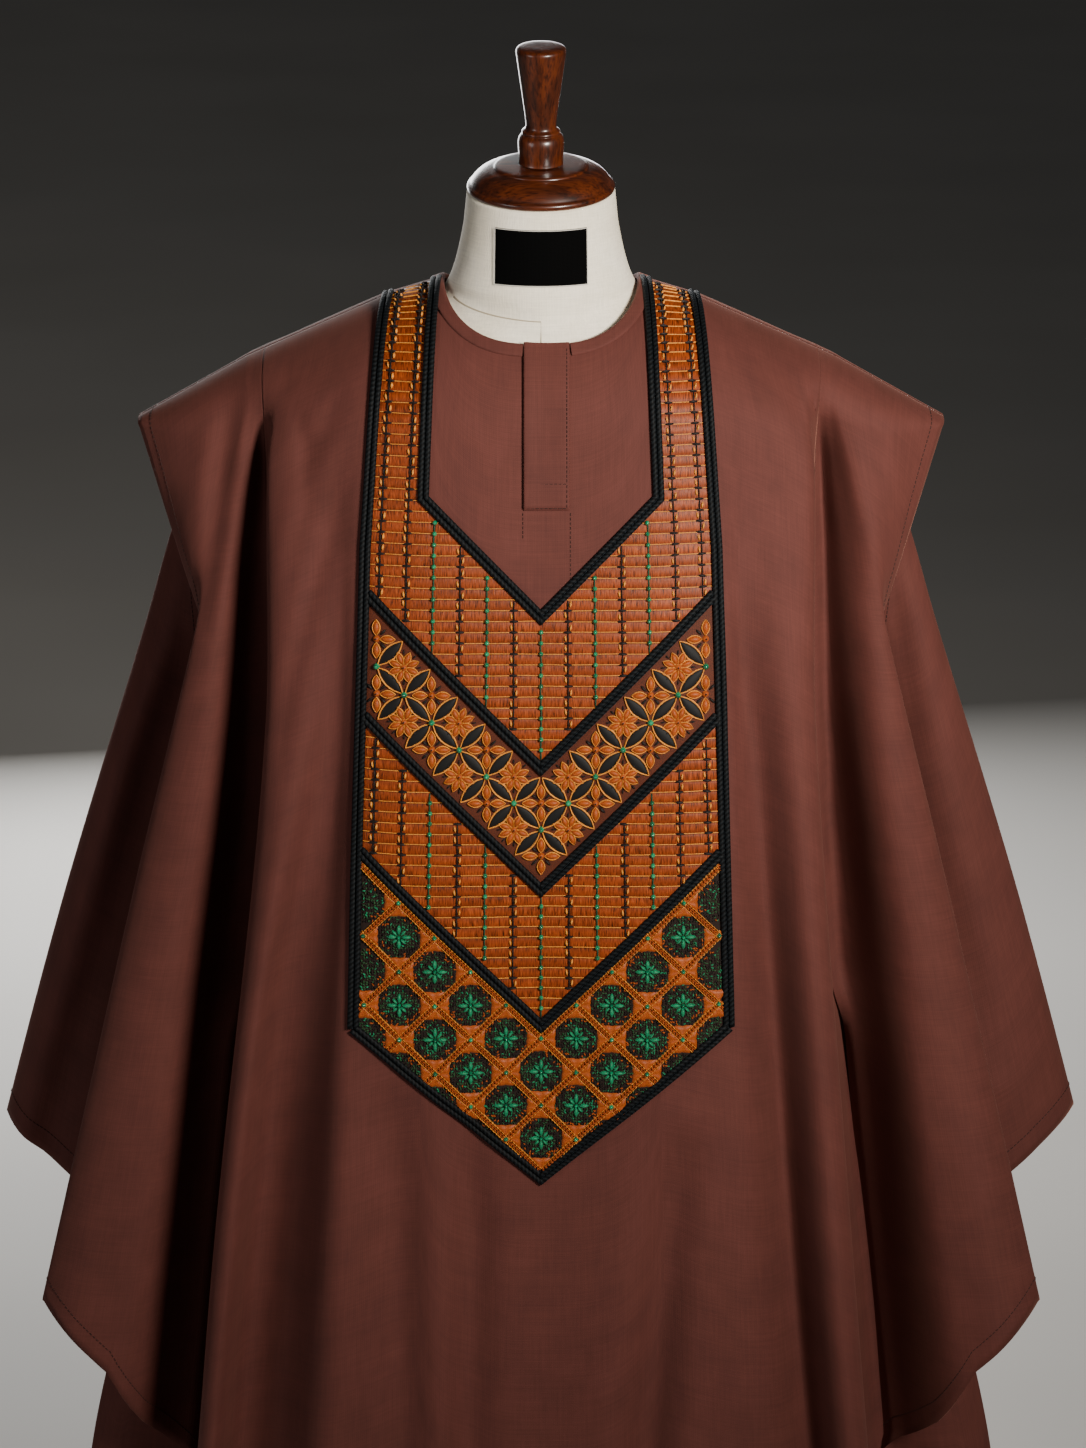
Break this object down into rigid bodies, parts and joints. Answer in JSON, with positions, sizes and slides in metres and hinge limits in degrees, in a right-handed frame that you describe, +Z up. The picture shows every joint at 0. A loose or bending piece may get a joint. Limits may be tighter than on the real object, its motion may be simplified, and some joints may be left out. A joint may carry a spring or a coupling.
{
  "type": "grand boubou robe on a limbless dress form",
  "caption": "Wide full-length grand boubou robe with deep open sleeves and an embroidered bib, draped on a limbless dress form that stands on a round wooden foot.",
  "frame": {"origin": "centre of the round foot's flat underside, on the floor", "axes": "+Z up, -Y to the front of the robe, +X to the right as seen from the front"},
  "size_m": [0.9658, 0.416, 1.7049],
  "materials": {
    "robe_cloth": "matte plain weave",
    "satin_stitch": "satin embroidery",
    "black_cord": "matte cord",
    "linen": "matte cream linen",
    "label": "matte woven",
    "wood": "glossy varnish"
  },
  "bodies": {
    "root": {"front_body": "robe_cloth", "back_body": "robe_cloth", "sleeve_front_right": "robe_cloth", "sleeve_front_left": "robe_cloth", "sleeve_back_right": "robe_cloth", "sleeve_back_left": "robe_cloth", "neck_band_left": "robe_cloth", "neck_band_right": "robe_cloth", "neck_band_back": "robe_cloth", "placket": "robe_cloth", "bib_upper_field": "satin_stitch", "bib_lattice_field": "satin_stitch", "bib_lower_field": "satin_stitch", "bib_point_field": "satin_stitch", "cord_outer_left": "black_cord", "cord_outer_right": "black_cord", "cord_inner": "black_cord", "cord_chevron_1": "black_cord", "cord_chevron_2": "black_cord", "cord_chevron_3": "black_cord", "cord_bottom": "black_cord", "form_torso": "linen", "neck_label": "label", "neck_cap": "wood", "finial": "wood", "stand_pole": "wood", "stand_base": "wood"}
  },
  "joints": []
}
